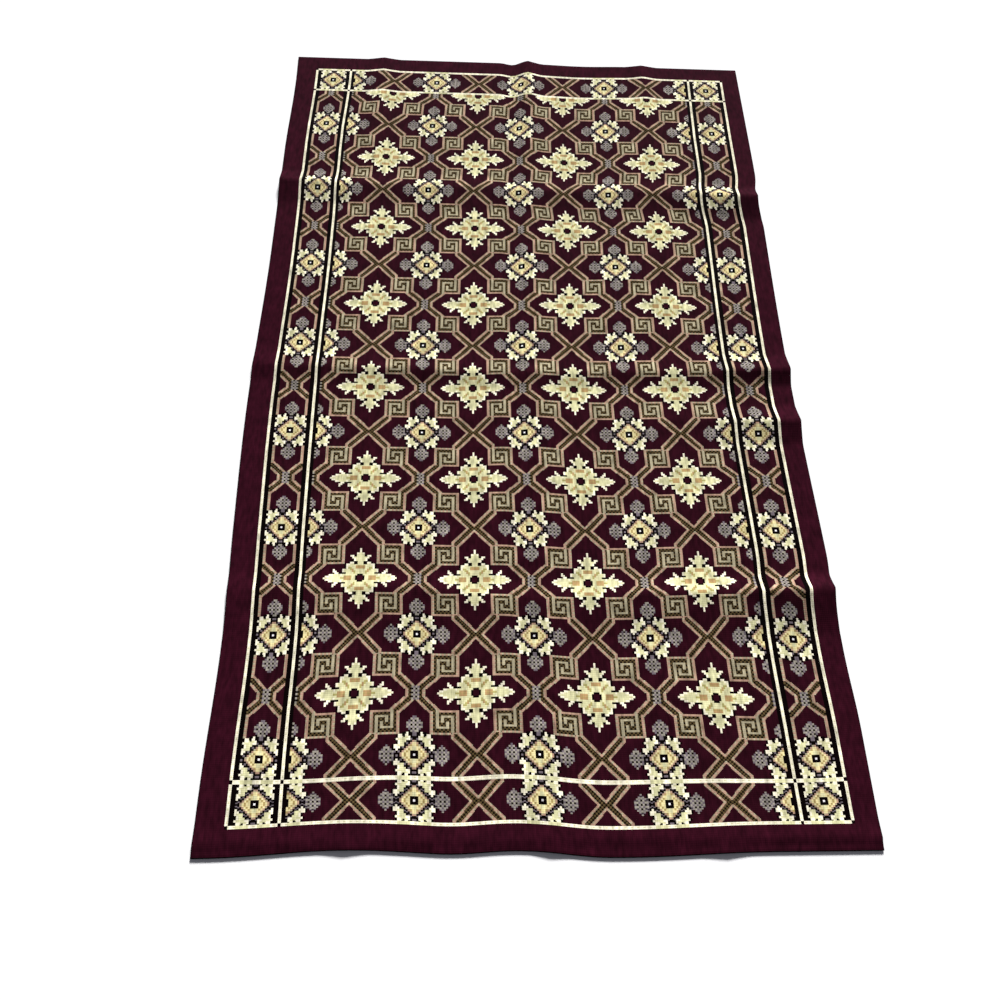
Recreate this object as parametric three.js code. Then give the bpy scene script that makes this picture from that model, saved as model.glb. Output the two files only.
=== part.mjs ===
import * as THREE from 'three';

// A flat handwoven rug of the 3 by 5 foot class, lying loose on a floor after it was unfolded.
// Millimetres. X runs across the rug, Y along it towards its far end, +Z is up.
// The origin is on the floor under the rug's middle.

const WIDTH_FAR = 916;
const WIDTH_NEAR = 933;
const LENGTH = 1524;
const THICKNESS = 3;

// Grid lines over one fold, as shares of its run, and the flat stretches between two folds.
const FOLD_LINES = [-1, -0.65, -0.3, 0, 0.3, 0.65, 1];
const FLAT_STRETCHES = 3;
const LINE_SETTLING_ROUNDS = 6;

// How sharply a fold's slopes fall away from its top.
const CREASE_POWER = 1.15;

// The rug had been stored folded in four each way, so low ridges cross it at the quarters.
// The first one is the near hem's slight curl.
// crest: where the ridge's top lies, at even steps along the ridge, and height: how high it is.
// run_back and run_front: how far its slopes reach towards plus and towards minus.
// Ridges that cross the rug list their steps from left to right, with crest along Y.
const RIDGES_ACROSS = [
  { crest: [-746, -746, -746, -746, -747], height: [2, 2, 2, 2, 3], run_back: 28, run_front: 6 },
  { crest: [-392, -387, -404, -396, -391], height: [4, 6, 5, 9, 18], run_back: 28, run_front: 66 },
  { crest: [-93, -93, -93, -93, -93], height: [0, 0, 0, 2, 12], run_back: 34, run_front: 42 },
  { crest: [7, 3, -3, 4, 10], height: [5, 7, 5, 6, 12], run_back: 38, run_front: 30 },
  { crest: [417, 414, 409, 411, 400], height: [11, 7, 6, 8, 16], run_back: 34, run_front: 50 },
];

// Ridges that run lengthwise list their steps from the near end to the far end, with crest along X.
const RIDGES_ALONG = [
  { crest: [-266, -270, -272, -276, -279], height: [2.5, 1.5, 1, 2, 5], run_back: 34, run_front: 34 },
  { crest: [10, 12, 14, 17, 18], height: [2, 1.5, 2, 3, 7.5], run_back: 30, run_front: 28 },
  { crest: [250, 252, 254, 256, 256], height: [2, 1, 1.5, 2, 5], run_back: 34, run_front: 34 },
];

// Soft waves of the four edges. at: the middle of the wave along its edge, reach: how far it
// goes each way, out: how far it moves the edge outwards, or inwards where it is negative.
const EDGE_WAVES = {
  left: [
    { at: 690, reach: 190, out: -4 },
    { at: -70, reach: 330, out: 6 },
    { at: -480, reach: 200, out: -4 },
  ],
  right: [
    { at: 20, reach: 520, out: -8 },
    { at: -470, reach: 130, out: -4 },
    { at: -392, reach: 70, out: -4 },
    { at: 400, reach: 70, out: -8 },
  ],
  near: [
    { at: -266, reach: 190, out: -8 },
    { at: 110, reach: 210, out: 5 },
    { at: -25, reach: 120, out: -6 },
  ],
  far: [
    { at: -14, reach: 26, out: -5 },
    { at: 130, reach: 100, out: -3 },
  ],
};

// A slope that starts and ends level: 1 in the middle and 0 at the reach.
function bump(distance, reach) {
  const share = Math.min(Math.abs(distance) / reach, 1);
  return 0.5 + 0.5 * Math.cos(Math.PI * share);
}

// 1 at a fold's sharp top, and falling to 0 at the reach, level only there.
function crease(distance, reach) {
  return (1 - Math.min(Math.abs(distance) / reach, 1)) ** CREASE_POWER;
}

// The value at a share of the way along evenly spaced steps, rounded between them.
function stepped(values, share) {
  const place = THREE.MathUtils.clamp(share, 0, 1) * (values.length - 1);
  const step = Math.min(Math.floor(place), values.length - 2);
  const blend = THREE.MathUtils.smoothstep(place - step, 0, 1);
  return THREE.MathUtils.lerp(values[step], values[step + 1], blend);
}

function wave(rows, place) {
  return rows.reduce((sum, row) => sum + row.out * bump(place - row.at, row.reach), 0);
}

function shareAcross(x) {
  return x / WIDTH_NEAR + 0.5;
}

function shareAlong(y) {
  return y / LENGTH + 0.5;
}

function halfWidth(y) {
  return THREE.MathUtils.lerp(WIDTH_NEAR, WIDTH_FAR, shareAlong(y)) / 2;
}

const leftEdge = (y) => -halfWidth(y) - wave(EDGE_WAVES.left, y);
const rightEdge = (y) => halfWidth(y) + wave(EDGE_WAVES.right, y);
const nearEdge = (x) => -LENGTH / 2 - wave(EDGE_WAVES.near, x);
const farEdge = (x) => LENGTH / 2 + wave(EDGE_WAVES.far, x);

// Height that one set of ridges gives a point: where is its place across the ridges.
function raised(ridges, where, share) {
  return ridges.reduce((most, ridge) => {
    const offset = where - stepped(ridge.crest, share);
    const run = offset > 0 ? ridge.run_back : ridge.run_front;
    return Math.max(most, stepped(ridge.height, share) * crease(offset, run));
  }, 0);
}

// The underside's height over the floor. It is exactly 0 on the flat panels between ridges.
function lift(x, y) {
  const across = raised(RIDGES_ACROSS, y, shareAcross(x));
  const along = raised(RIDGES_ALONG, x, shareAlong(y));
  return Math.hypot(across, along);
}

// Grid lines from one edge to the other: some follow each ridge, the rest divide what is flat.
function linesBetween(start, ridges, end, shareOf) {
  const lines = [start];
  const divide = (until) => {
    const from = lines[lines.length - 1];
    for (let step = 1; step < FLAT_STRETCHES; step++) {
      const share = step / FLAT_STRETCHES;
      lines.push((place) => THREE.MathUtils.lerp(from(place), until(place), share));
    }
  };
  for (const ridge of ridges) {
    const onRidge = FOLD_LINES.map((share) => {
      const offset = share * (share > 0 ? ridge.run_back : ridge.run_front);
      return (place) => stepped(ridge.crest, shareOf(place)) + offset;
    });
    divide(onRidge[0]);
    lines.push(...onRidge);
  }
  divide(end);
  lines.push(end);
  return lines;
}

// Where a column line and a row line cross, found by going back and forth between them.
function crossing(column, row) {
  let x = 0;
  let y = 0;
  for (let round = 0; round < LINE_SETTLING_ROUNDS; round++) {
    x = column(y);
    y = row(x);
  }
  return [x, y];
}

// One closed sheet: a thin block's grid is moved onto the rug's own lines and heights, and then
// set with the middle of its plan over the origin.
function wovenSheet() {
  const columns = linesBetween(leftEdge, RIDGES_ALONG, rightEdge, shareAlong);
  const rows = linesBetween(nearEdge, RIDGES_ACROSS, farEdge, shareAcross);
  const across = columns.length - 1;
  const along = rows.length - 1;
  const sheet = new THREE.BoxGeometry(across, along, 1, across, along, 1);
  const points = sheet.attributes.position;
  for (let i = 0; i < points.count; i++) {
    const column = Math.round(points.getX(i) + across / 2);
    const row = Math.round(points.getY(i) + along / 2);
    const top = points.getZ(i) > 0 ? THICKNESS : 0;
    const [x, y] = crossing(columns[column], rows[row]);
    points.setXYZ(i, x, y, lift(x, y) + top);
  }
  sheet.computeBoundingBox();
  const middle = sheet.boundingBox.getCenter(new THREE.Vector3());
  sheet.translate(-middle.x, -middle.y, 0);
  sheet.computeVertexNormals();
  return sheet;
}

const yarn = new THREE.MeshStandardMaterial({ color: 0x3a1220, roughness: 0.95, metalness: 0 });

const rug = new THREE.Mesh(wovenSheet(), yarn);
rug.name = 'rug';

const group = new THREE.Group();
group.add(rug);

export default group;
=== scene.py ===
import math

import bmesh
import bpy
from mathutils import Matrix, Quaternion, Vector


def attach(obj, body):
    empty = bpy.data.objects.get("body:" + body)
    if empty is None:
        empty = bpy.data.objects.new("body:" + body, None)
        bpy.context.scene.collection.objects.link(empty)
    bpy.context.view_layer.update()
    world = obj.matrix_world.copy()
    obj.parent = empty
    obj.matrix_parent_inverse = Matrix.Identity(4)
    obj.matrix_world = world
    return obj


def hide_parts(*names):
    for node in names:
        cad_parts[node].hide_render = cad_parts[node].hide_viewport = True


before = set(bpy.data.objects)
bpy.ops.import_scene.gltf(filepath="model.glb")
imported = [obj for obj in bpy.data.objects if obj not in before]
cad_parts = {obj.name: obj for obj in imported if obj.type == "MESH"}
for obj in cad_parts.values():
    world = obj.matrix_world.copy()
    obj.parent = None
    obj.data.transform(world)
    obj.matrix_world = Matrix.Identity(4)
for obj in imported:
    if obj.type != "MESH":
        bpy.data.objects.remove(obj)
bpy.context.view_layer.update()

# The rug's own sizes, in metres. X runs across it, Y along it towards the far end, Z up.
WIDTH_FAR = 0.916
WIDTH_NEAR = 0.933
LENGTH = 1.524
THICKNESS = 0.003
ROLLED_EDGE = 0.0012

# Storage creases, and first the near hem's slight curl. crest: where the ridge's top lies, at
# even steps along the ridge. height: how high it stands there. run_back and run_front: how far
# it reaches each way. The slopes are nearly straight, as a folded cloth's are.
CREASE_POWER = 1.15
RIDGES_ACROSS = [
    {"crest": [-0.746, -0.746, -0.746, -0.746, -0.747],
     "height": [0.002, 0.002, 0.002, 0.002, 0.003], "run_back": 0.028, "run_front": 0.006},
    {"crest": [-0.392, -0.387, -0.404, -0.396, -0.391],
     "height": [0.004, 0.006, 0.005, 0.009, 0.018], "run_back": 0.028, "run_front": 0.066},
    {"crest": [-0.093, -0.093, -0.093, -0.093, -0.093],
     "height": [0.0, 0.0, 0.0, 0.002, 0.012], "run_back": 0.034, "run_front": 0.042},
    {"crest": [0.007, 0.003, -0.003, 0.004, 0.010],
     "height": [0.005, 0.007, 0.005, 0.006, 0.012], "run_back": 0.038, "run_front": 0.030},
    {"crest": [0.417, 0.414, 0.409, 0.411, 0.400],
     "height": [0.011, 0.007, 0.006, 0.008, 0.016], "run_back": 0.034, "run_front": 0.050},
]
RIDGES_ALONG = [
    {"crest": [-0.266, -0.270, -0.272, -0.276, -0.279],
     "height": [0.0025, 0.0015, 0.001, 0.002, 0.005], "run_back": 0.034, "run_front": 0.034},
    {"crest": [0.010, 0.012, 0.014, 0.017, 0.018],
     "height": [0.002, 0.0015, 0.002, 0.003, 0.0075], "run_back": 0.030, "run_front": 0.028},
    {"crest": [0.250, 0.252, 0.254, 0.256, 0.256],
     "height": [0.002, 0.001, 0.0015, 0.002, 0.005], "run_back": 0.034, "run_front": 0.034},
]

# Soft waves of the edges. at: middle of the wave, reach: how far it goes each way,
# out: how far it moves the edge outwards. A point is settled between the edges in rounds.
SETTLING_ROUNDS = 4
EDGE_WAVES = {
    "left": [
        {"at": 0.690, "reach": 0.190, "out": -0.004},
        {"at": -0.070, "reach": 0.330, "out": 0.006},
        {"at": -0.480, "reach": 0.200, "out": -0.004},
    ],
    "right": [
        {"at": 0.020, "reach": 0.520, "out": -0.008},
        {"at": -0.470, "reach": 0.130, "out": -0.004},
        {"at": -0.392, "reach": 0.070, "out": -0.004},
        {"at": 0.400, "reach": 0.070, "out": -0.008},
    ],
    "near": [
        {"at": -0.266, "reach": 0.190, "out": -0.008},
        {"at": 0.110, "reach": 0.210, "out": 0.005},
        {"at": -0.025, "reach": 0.120, "out": -0.006},
    ],
    "far": [
        {"at": -0.014, "reach": 0.026, "out": -0.005},
        {"at": 0.130, "reach": 0.100, "out": -0.003},
    ],
}

# The weave has crept off its straight grid: the field as a whole lies a little to the left, and
# single pulls moved it further. at and reach are places across and along the rug, and moved is
# how far the weave went there. The edges hold the field, over these shares of the rug.
FIELD_CREPT = -0.007
SIDES_HOLD = 1 / 6
ENDS_HOLD = 1 / 8
PULLS = [
    {"at": (-0.22, -0.10), "reach": (0.24, 0.25), "moved": (0.006, 0)},
    {"at": (-0.30, 0.00), "reach": (0.17, 0.76), "moved": (0, -0.006)},
    {"at": (-0.14, 0.00), "reach": (0.22, 0.50), "moved": (0, -0.0055)},
    {"at": (-0.31, -0.60), "reach": (0.16, 0.16), "moved": (0, -0.008)},
    {"at": (0.00, -0.38), "reach": (0.12, 0.20), "moved": (0, -0.003)},
    {"at": (0.17, 0.20), "reach": (0.15, 0.20), "moved": (0, 0.005)},
    {"at": (0.34, -0.58), "reach": (0.20, 0.17), "moved": (0, -0.009)},
    {"at": (0.46, -0.42), "reach": (0.14, 0.20), "moved": (0, -0.008)},
]

# The camera, placed from the rug's perspective in the photo. Its lens is assumed.
CAMERA_PLACE = (-0.1143, -0.8016, 1.2301)
CAMERA_TARGET = (-0.0511, -0.2377, 0.003)
CAMERA_ROLL_DEG = 6.24
CAMERA_LENS_MM = 30.6
CAMERA_SENSOR_MM = 36

# Soft daylight from beyond the rug's far end, low enough to shade the creases.
DAYLIGHT_PLACE = (0.7, 3.6, 1.95)
DAYLIGHT_STRENGTH = 6.9
DAYLIGHT_SPREAD_DEG = 14
ROOM_STRENGTH = 0.14
FLOOR_HALF_SIZE = 20
FLOOR_BELOW_RUG = 0.0004

# The chart and its strokes are drawn in knots, and the weave in half knots. One mesh face
# holds a few knots, and carries each row of its half knots as the digits of one number.
CELLS_PER_KNOT = 2
KNOTS_PER_FACE = (3, 2)
YARNS_IN_CODE = 16

# Every yarn of the weave: its letter in the chart and its colour.
YARNS = {
    ".": "#2a0813",  # burgundy ground
    "h": "#300a17",  # burgundy band outside the pattern
    "k": "#070202",  # black outline; also the painted edge shade of the outermost band
    "c": "#d5d1a1",  # greenish cream
    "w": "#f5edd0",  # pale cream
    "p": "#ad8c76",  # rosy tan
    "d": "#120a06",  # dark brown
    "e": "#58492d",  # khaki
    "l": "#a99f82",  # stone
    "t": "#ae8d60",  # tan
    "o": "#a89f62",  # olive
    "g": "#979083",  # warm grey
    "m": "#6f656a",  # mauve grey
    "y": "#e0d29a",  # gold
    "b": "#a8925c",  # old gold
    "W": "#f8f4f2",  # white
}

# How unevenly the yarn took the dye. scale: turns of the noise in one half knot, across and
# along, and shades: the darkest and the lightest share of the yarn's own colour.
STREAKS = {"scale": (0.25, 0.08, 0), "shades": (0.2, 1.8)}
PATCHES = {"scale": (0.05, 0.05, 0), "shades": (0.55, 1.45)}

# A knot's relief: its height, how strongly it shows, and its slopes across and along.
KNOT_HEIGHT = 0.0006
KNOT_SHOWS = 0.3
KNOT_SLOPES = (1, 0.4, 0)

# A quarter of the repeat, one letter a knot. The small medallion's middle is at the top left
# corner, and the large flower's middle knot is the last one.
QUARTER = """
Wkyybypkmkngggggn..............
kyybypkmkmngggggn..............
cybypkmkwkmngggn...............
cyypkmkwwwk.ngn................
ybpkmcccwwk..n.................
ypkmkccwk......................
pkmkcccwk......................
kmwwccccwk.....................
mkwcccwwk......................
mkkwwkwwk......................
nkkwkk.........................
gnk............................
ggn............................
gggn..........................w
gggn..........................w
gggn..........................w
ggn..........................cc
gn.......................wwkkcc
n.........................wcccc
..........................kwccc
.........................kkwccc
........................kwwkkcc
......................kwwcccccc
......................kwccccttt
......................kwooccttt
................w....wcccotcccc
................ww...wcccctoccc
gg...............wwkkkkccccoccc
gg............wwccccwcccccccckk
gg..........wwccccccccttttcck..
gg.........wccccccccoottttcck..
""".split()

# Letters that stand for knots of several yarns: those of an even row, then of an odd row.
MIXED = {
    "d": "deed",  # dark brown, dotted with khaki
    "m": "mmkk",  # a medallion's dotted outline
    "g": "gmdg",  # a grey leaf's fine mesh
    "n": "ggmm",  # a grey leaf's dotted outline
    "p": "pplp",  # rosy edge of a strap, with lighter knots
    "t": "ttbt",  # a flower's tan petal
}

# Straps join the motifs. Their middle lines run through these points, in knots.
STRAPS = [
    [(32.0, -2.7), (20.4, 9.4)],
    [(10.2, 21.1), (3.3, 27.2), (2.4, 28.6), (2.4, 32.0)],
]
STRAP_MIDDLE = 2.3
STRAP_WIDTH = 4.9

# What the quarter has at half knots, in knots from its top left corner: the key in the
# middle of a strap's square, the flower's eye and crown, a notch in the medallion's leaf, and
# the box in its middle. Later strokes lie over earlier ones.
STROKES = [
    {"yarn": "d", "left": 9, "right": 20.5, "top": 11, "bottom": 21},
    {"yarn": "l", "left": 10.5, "right": 12, "top": 13, "bottom": 22},
    {"yarn": "l", "left": 10.5, "right": 17, "top": 13, "bottom": 14},
    {"yarn": "l", "left": 15.5, "right": 17, "top": 13, "bottom": 16.5},
    {"yarn": "l", "left": 18, "right": 19.5, "top": 11, "bottom": 19.5},
    {"yarn": "l", "left": 13, "right": 19.5, "top": 18.5, "bottom": 19.5},
    {"yarn": "l", "left": 13, "right": 14.5, "top": 16, "bottom": 19.5},
    {"yarn": "p", "left": 7.5, "right": 9, "top": 10, "bottom": 21.5},
    {"yarn": "p", "left": 7.5, "right": 18, "top": 10, "bottom": 11},
    {"yarn": "p", "left": 20.5, "right": 22, "top": 10.5, "bottom": 22},
    {"yarn": "p", "left": 12.5, "right": 22, "top": 21, "bottom": 22},
    {"yarn": "k", "left": 27, "right": 29, "top": 20.5, "bottom": 22.5},
    {"yarn": "c", "left": 28.5, "right": 31, "top": 15.5, "bottom": 18},
    {"yarn": "w", "left": 28.5, "right": 29.5, "top": 15.5, "bottom": 16.5},
    {"yarn": "k", "left": 4.5, "right": 5.5, "top": 8.5, "bottom": 10},
    {"yarn": "k", "left": 0, "right": 2, "top": 0, "bottom": 2},
    {"yarn": "W", "left": 0, "right": 0.5, "top": 0, "bottom": 0.5},
]

# The weave's bands from left to right and from the far end to the near end. Where a band
# has the pattern, starts is its first knot, counted from a small medallion's middle.
# The outermost band is not a yarn of the cloth: it is black, painted shade along the rug's edge all round.
EDGE_SHADE_BAND = {"kind": "edge_shade", "knots": 0.5}
SIDE_STRIP = {"kind": "cloth", "knots": 18, "starts": -9}
END_STRIP = {"kind": "cloth", "knots": 19, "starts": -9.5}
LINE = {"kind": "line", "knots": 1.5}
STRIP_BLACK = {"kind": "black", "knots": 2.5}
FIELD_BLACK = {"kind": "black", "knots": 2}
BANDS_ACROSS = [
    EDGE_SHADE_BAND, {"kind": "hem", "knots": 13.5},
    LINE, STRIP_BLACK, SIDE_STRIP, STRIP_BLACK, LINE,
    FIELD_BLACK, {"kind": "cloth", "knots": 242, "starts": 1}, FIELD_BLACK,
    LINE, STRIP_BLACK, SIDE_STRIP, STRIP_BLACK, LINE,
    {"kind": "hem", "knots": 11.5}, EDGE_SHADE_BAND,
]
BANDS_ALONG = [
    EDGE_SHADE_BAND, {"kind": "hem", "knots": 11.5}, LINE, END_STRIP, LINE,
    {"kind": "cloth", "knots": 469, "starts": 29},
    {"kind": "line", "knots": 2}, END_STRIP, LINE, {"kind": "hem", "knots": 12}, EDGE_SHADE_BAND,
]

# A medallion's leaves reach over the lines that cross the rug, between these knots. A line has
# a darker stitch in its middle at every third knot.
LEAVES_OVER_LINE = (2, 8)
STITCH_EVERY = 3
STITCH_CELL = 1


def linear(hex_colour):
    """An sRGB hex colour as the linear values that a shader works in."""
    shares = [int(hex_colour[i:i + 2], 16) / 255 for i in (1, 3, 5)]
    return [s / 12.92 if s <= 0.04045 else ((s + 0.055) / 1.055) ** 2.4 for s in shares] + [1]


# The sheet's shape

def bump(distance, reach):
    """1 in the middle and 0 at the reach, level at both."""
    share = min(abs(distance) / reach, 1)
    return 0.5 + 0.5 * math.cos(math.pi * share)


def crease(distance, reach):
    """1 at a fold's sharp top, and falling to 0 at the reach, level only there."""
    return (1 - min(abs(distance) / reach, 1)) ** CREASE_POWER


def stepped(values, share):
    """The value at a share of the way along even steps, rounded between them."""
    place = min(max(share, 0), 1) * (len(values) - 1)
    step = min(int(place), len(values) - 2)
    blend = place - step
    blend = blend * blend * (3 - 2 * blend)
    return values[step] + (values[step + 1] - values[step]) * blend


def between(low, high, share):
    """The value at a share of the way from low to high."""
    return low + (high - low) * share


def wave(rows, place):
    """How far an edge's waves move it outwards at a place along it."""
    return sum(row["out"] * bump(place - row["at"], row["reach"]) for row in rows)


def half_width(y):
    """Half the rug's width before its edges wave: it narrows towards the far end."""
    return between(WIDTH_NEAR, WIDTH_FAR, y / LENGTH + 0.5) / 2


def raised(ridges, where, share):
    """Height that one set of ridges gives a point: where is its place across the ridges."""
    most = 0
    for ridge in ridges:
        offset = where - stepped(ridge["crest"], share)
        run = ridge["run_back"] if offset > 0 else ridge["run_front"]
        most = max(most, stepped(ridge["height"], share) * crease(offset, run))
    return most


def lift(x, y):
    """The underside's height over the floor."""
    across = raised(RIDGES_ACROSS, y, x / WIDTH_NEAR + 0.5)
    along = raised(RIDGES_ALONG, x, y / LENGTH + 0.5)
    return math.hypot(across, along)


def crept(across, along, x, y):
    """How far the weave has crept at a point, across and along the rug."""
    free = min(across / SIDES_HOLD, (1 - across) / SIDES_HOLD, 1)
    free *= min(along / ENDS_HOLD, (1 - along) / ENDS_HOLD, 1)
    moved = Vector((FIELD_CREPT * free, 0))
    for pull in PULLS:
        reach_x, reach_y = pull["reach"]
        share = bump(x - pull["at"][0], reach_x) * bump(y - pull["at"][1], reach_y)
        moved += Vector(pull["moved"]) * share
    return moved


def place_on_rug(across, along):
    """Where a point of the cloth lies, from its shares of the way across and along."""
    x = 0
    y = 0
    for _ in range(SETTLING_ROUNDS):
        left = -half_width(y) - wave(EDGE_WAVES["left"], y)
        right = half_width(y) + wave(EDGE_WAVES["right"], y)
        x = between(left, right, across)
        near = -LENGTH / 2 - wave(EDGE_WAVES["near"], x)
        far = LENGTH / 2 + wave(EDGE_WAVES["far"], x)
        y = between(near, far, along)
    x, y = Vector((x, y)) + crept(across, along, x, y)
    return Vector((x, y, lift(x, y) + THICKNESS))


# The weave's pattern

def folded(place, half):
    """A cell's place in the quarter: the pattern runs forwards and then backwards."""
    place %= 2 * half
    return place if place < half else 2 * half - 1 - place


def off_path(point, path):
    """How far a point lies from a path of straight runs."""
    nearest = math.inf
    for start, end in zip(path, path[1:]):
        start = Vector(start)
        run = Vector(end) - start
        share = (point - start).dot(run) / run.length_squared
        nearest = min(nearest, (point - start - run * min(max(share, 0), 1)).length)
    return nearest


def fine_quarter():
    """The quarter in half knots, with the straps on its bare ground and then the strokes."""
    size = CELLS_PER_KNOT * len(QUARTER) - 1
    cells = [
        [QUARTER[y // CELLS_PER_KNOT][x // CELLS_PER_KNOT] for x in range(size)]
        for y in range(size)
    ]
    for y in range(size):
        for x in range(size):
            middle = Vector((x + 0.5, y + 0.5)) / CELLS_PER_KNOT
            off = min(off_path(middle, path) for path in STRAPS)
            if cells[y][x] == "." and off < STRAP_WIDTH / 2:
                cells[y][x] = "d" if off < STRAP_MIDDLE / 2 else "p"
    for stroke in STROKES:
        edges = [stroke[name] * CELLS_PER_KNOT for name in ("top", "bottom", "left", "right")]
        top, bottom, left, right = (round(edge) for edge in edges)
        for y in range(top, min(bottom, size)):
            for x in range(left, min(right, size)):
                cells[y][x] = stroke["yarn"]
    return cells


def laid_out(bands, half):
    """What each line of half knots is: its band's kind, and its place in quarter or line."""
    cells = []
    for band in bands:
        start = round(CELLS_PER_KNOT * band.get("starts", 0))
        for step in range(round(CELLS_PER_KNOT * band["knots"])):
            place = folded(start + step, half) if "starts" in band else step
            cells.append((band["kind"], place))
    return cells


def yarn_at(quarter, column, row, knot_x, knot_y):
    """The letter of the yarn that shows at one cell of the weave."""
    across, chart_x = column
    along, chart_y = row
    kinds = (across, along)
    # The outermost band shows painted shade: black along the rug's edge.
    if "edge_shade" in kinds:
        return "k"
    if "hem" in kinds:
        return "h"
    if across == along == "line":
        return "k"
    if across == "line":
        return "c" if chart_x == STITCH_CELL and knot_y % STITCH_EVERY == 0 else "w"
    if along == "line":
        first, last = (CELLS_PER_KNOT * knot for knot in LEAVES_OVER_LINE)
        if across == "cloth" and first <= chart_x < last:
            return "c"
        return "c" if chart_y == STITCH_CELL and knot_x % STITCH_EVERY == 0 else "w"
    if across == "black":
        return "k"
    letter = quarter[chart_y][chart_x]
    return MIXED.get(letter, letter * 4)[knot_y % 2 * 2 + knot_x % 2]


def woven_codes():
    """The weave as a number for each cell, in rows from the near end to the far end."""
    quarter = fine_quarter()
    columns = laid_out(BANDS_ACROSS, len(quarter))
    rows = laid_out(BANDS_ALONG, len(quarter))[::-1]
    order = {letter: number for number, letter in enumerate(YARNS)}
    return [
        [
            order[yarn_at(quarter, column, row, x // CELLS_PER_KNOT, y // CELLS_PER_KNOT)]
            for x, column in enumerate(columns)
        ]
        for y, row in enumerate(rows)
    ]


def packed(codes):
    """The yarns of one row of a face's cells, as the digits of one number."""
    return sum(code * YARNS_IN_CODE ** place for place, code in enumerate(codes))


# The cloth

def make_rug():
    """The woven sheet: one mesh on the rug's own folds, with its weave kept on the faces."""
    codes = woven_codes()
    cells_across, cells_along = (CELLS_PER_KNOT * knots for knots in KNOTS_PER_FACE)
    faces_across = len(codes[0]) // cells_across
    faces_along = len(codes) // cells_along
    cloth = bmesh.new()
    cells = cloth.loops.layers.uv.new("cells")
    rows = [cloth.faces.layers.float.new(f"yarns_{row}") for row in range(cells_along)]
    bmesh.ops.create_grid(
        cloth, x_segments=faces_across, y_segments=faces_along, size=0.5, calc_uvs=True
    )
    for face in cloth.faces:
        middle = face.calc_center_median()
        x = int((middle.x + 0.5) * faces_across) * cells_across
        y = int((middle.y + 0.5) * faces_along) * cells_along
        for step, row in enumerate(rows):
            face[row] = packed(codes[y + step][x:x + cells_across])
        face.smooth = True
        for loop in face.loops:
            share = loop[cells].uv
            loop[cells].uv = (share.x * len(codes[0]), share.y * len(codes))
    for vertex in cloth.verts:
        vertex.co = place_on_rug(vertex.co.x + 0.5, vertex.co.y + 0.5)
    xs = [vertex.co.x for vertex in cloth.verts]
    ys = [vertex.co.y for vertex in cloth.verts]
    middle = Vector(((min(xs) + max(xs)) / 2, (min(ys) + max(ys)) / 2, 0))
    bmesh.ops.translate(cloth, verts=cloth.verts, vec=-middle)

    mesh = bpy.data.meshes.new("woven_rug")
    cloth.to_mesh(mesh)
    cloth.free()
    rug = bpy.data.objects.new("woven_rug", mesh)
    bpy.context.scene.collection.objects.link(rug)
    body = rug.modifiers.new("cloth thickness", "SOLIDIFY")
    body.thickness = THICKNESS
    body.offset = -1
    edge = rug.modifiers.new("rolled edge", "BEVEL")
    edge.width = ROLLED_EDGE
    edge.segments = 2
    edge.limit_method = "ANGLE"
    edge.angle_limit = math.radians(40)
    return rug


# Materials

def add(tree, kind, settings=None, inputs=None):
    """Adds a node, sets its properties, and fills its inputs or links them to other nodes."""
    node = tree.nodes.new(kind)
    for name, value in (settings or {}).items():
        setattr(node, name, value)
    for name, value in (inputs or {}).items():
        if isinstance(value, bpy.types.Node):
            value = value.outputs[0]
        if isinstance(value, bpy.types.NodeSocket):
            tree.links.new(value, node.inputs[name])
        else:
            node.inputs[name].default_value = value
    return node


def new_material(name):
    material = bpy.data.materials.new(name)
    material.use_nodes = True
    tree = material.node_tree
    tree.nodes.clear()
    return material, tree


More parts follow.
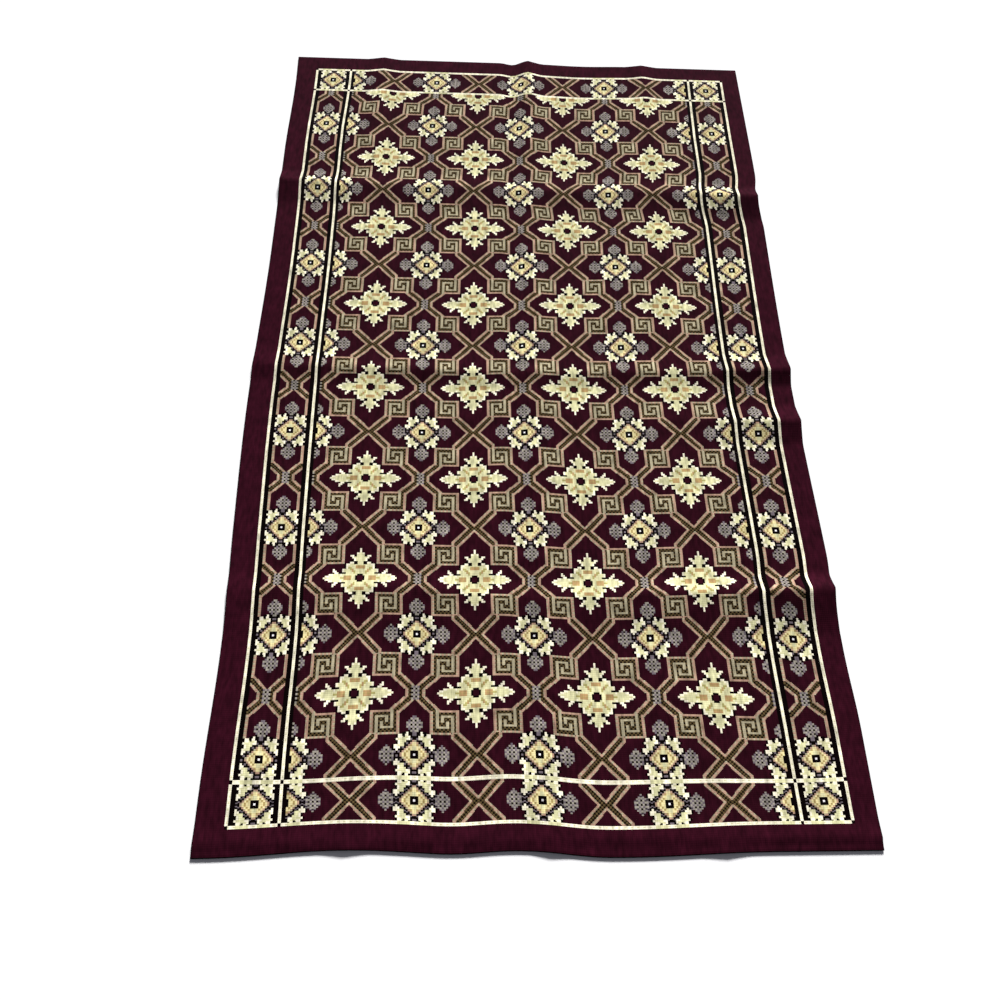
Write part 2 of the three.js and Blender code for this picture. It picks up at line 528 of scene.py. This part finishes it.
def woven_yarn():
    """Cotton and wool yarn, woven flat in knots of 2.85 mm: matte, with soft ribs."""
    material, tree = new_material("woven_yarn")
    math_node = "ShaderNodeMath"
    vector_node = "ShaderNodeVectorMath"
    cells_across, cells_along = (CELLS_PER_KNOT * knots for knots in KNOTS_PER_FACE)

    # Of the face's numbers, the one for this row of cells has a digit for this cell's yarn.
    layout = add(tree, "ShaderNodeUVMap", {"uv_map": "cells"})
    cell = add(tree, vector_node, {"operation": "FLOOR"}, {0: layout})
    in_face = add(tree, vector_node, {"operation": "MODULO"}, {0: cell, 1: (cells_across, cells_along, 1)})
    place = add(tree, "ShaderNodeSeparateXYZ", inputs={0: in_face})
    held = 0.0
    for number in range(cells_along):
        row = add(tree, "ShaderNodeAttribute", {"attribute_name": f"yarns_{number}"})
        here = add(tree, math_node, {"operation": "COMPARE"}, {0: place.outputs["Y"], 1: number, 2: 0.5})
        held = add(
            tree, math_node, {"operation": "MULTIPLY_ADD"},
            {0: here, 1: row.outputs["Fac"], 2: held},
        )
    power = add(tree, math_node, {"operation": "POWER"}, {0: YARNS_IN_CODE, 1: place.outputs["X"]})
    whole = add(tree, math_node, {"operation": "ROUND"}, {0: power})
    moved = add(tree, math_node, {"operation": "DIVIDE"}, {0: held, 1: whole})
    digits = add(tree, math_node, {"operation": "FLOOR"}, {0: moved})
    code = add(tree, math_node, {"operation": "MODULO"}, {0: digits, 1: YARNS_IN_CODE})
    stop = add(
        tree, math_node, {"operation": "MULTIPLY_ADD"},
        {0: code, 1: 1 / YARNS_IN_CODE, 2: 0.5 / YARNS_IN_CODE},
    )
    ramp = add(tree, "ShaderNodeValToRGB", inputs={0: stop})
    ramp.color_ramp.interpolation = "CONSTANT"
    stops = ramp.color_ramp.elements
    while len(stops) < len(YARNS):
        stops.new(0.5)
    for number, colour in enumerate(YARNS.values()):
        stops[number].position = number / YARNS_IN_CODE
        stops[number].color = linear(colour)

    # The yarn takes the dye unevenly, in short streaks along the warp and in soft patches.
    uneven = 1.0
    for dye in (STREAKS, PATCHES):
        low, high = dye["shades"]
        spread = add(tree, vector_node, {"operation": "MULTIPLY"}, {0: layout, 1: dye["scale"]})
        noise = add(tree, "ShaderNodeTexNoise", inputs={"Vector": spread, "Scale": 1.0, "Detail": 2.0})
        shade = add(tree, "ShaderNodeMapRange", inputs={"Value": noise, "To Min": low, "To Max": high})
        uneven = add(tree, math_node, {"operation": "MULTIPLY"}, {0: uneven, 1: shade})
    dyed = add(tree, vector_node, {"operation": "SCALE"}, {0: ramp, "Scale": uneven})

    # Every knot is a soft mound, deepest in the groove between two warp threads.
    turn = math.pi / CELLS_PER_KNOT
    angle = add(tree, vector_node, {"operation": "MULTIPLY"}, {0: layout, 1: (turn, turn, 0)})
    mounds = add(tree, vector_node, {"operation": "SINE"}, {0: angle})
    heights = add(tree, vector_node, {"operation": "ABSOLUTE"}, {0: mounds})
    mound = add(tree, vector_node, {"operation": "DOT_PRODUCT"}, {0: heights, 1: KNOT_SLOPES})
    relief = add(
        tree, "ShaderNodeBump",
        inputs={"Strength": KNOT_SHOWS, "Distance": KNOT_HEIGHT, "Height": mound.outputs["Value"]},
    )
    yarn = add(
        tree, "ShaderNodeBsdfPrincipled",
        inputs={"Base Color": dyed, "Roughness": 0.95, "Specular IOR Level": 0.03, "Normal": relief},
    )
    add(tree, "ShaderNodeOutputMaterial", inputs={"Surface": yarn})
    return material


def pale_floor():
    """A matte white studio floor."""
    material, tree = new_material("pale_floor")
    surface = add(
        tree, "ShaderNodeBsdfPrincipled",
        inputs={"Base Color": linear("#f8f7f5"), "Roughness": 0.9, "Specular IOR Level": 0.1},
    )
    add(tree, "ShaderNodeOutputMaterial", inputs={"Surface": surface})
    return material


# Studio

def make_floor():
    ground = bmesh.new()
    bmesh.ops.create_grid(ground, x_segments=1, y_segments=1, size=FLOOR_HALF_SIZE)
    bmesh.ops.translate(ground, verts=ground.verts, vec=(0, 0, -FLOOR_BELOW_RUG))
    mesh = bpy.data.meshes.new("studio_floor")
    ground.to_mesh(mesh)
    ground.free()
    floor = bpy.data.objects.new("studio_floor", mesh)
    floor.data.materials.append(pale_floor())
    bpy.context.scene.collection.objects.link(floor)


def aim(thing, place, target):
    """Stands a light or camera at a place and turns it to face the target."""
    thing.location = place
    thing.rotation_mode = "QUATERNION"
    way = Vector(target) - Vector(place)
    thing.rotation_quaternion = way.to_track_quat("-Z", "Y")


def make_lights():
    """The daylight, and a faint even light from the room."""
    lamp = bpy.data.lights.new("far_daylight", "SUN")
    lamp.energy = DAYLIGHT_STRENGTH
    lamp.angle = math.radians(DAYLIGHT_SPREAD_DEG)
    lamp.color = linear("#fdfdff")[:3]
    light = bpy.data.objects.new("far_daylight", lamp)
    bpy.context.scene.collection.objects.link(light)
    aim(light, DAYLIGHT_PLACE, (0, 0, 0))
    world = bpy.data.worlds.new("room")
    bpy.context.scene.world = world
    world.use_nodes = True
    backdrop = world.node_tree.nodes["Background"]
    backdrop.inputs["Color"].default_value = linear("#eceeff")
    backdrop.inputs["Strength"].default_value = ROOM_STRENGTH


def make_camera():
    data = bpy.data.cameras.new("camera")
    data.sensor_width = CAMERA_SENSOR_MM
    data.lens = CAMERA_LENS_MM
    camera = bpy.data.objects.new("camera", data)
    bpy.context.scene.collection.objects.link(camera)
    aim(camera, CAMERA_PLACE, CAMERA_TARGET)
    camera.rotation_quaternion @= Quaternion((0, 0, 1), math.radians(CAMERA_ROLL_DEG))
    bpy.context.scene.camera = camera


rug = make_rug()
rug.data.materials.append(woven_yarn())
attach(rug, "root")
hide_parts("rug")

make_floor()
make_lights()
make_camera()
bpy.context.scene.view_settings.view_transform = "Standard"
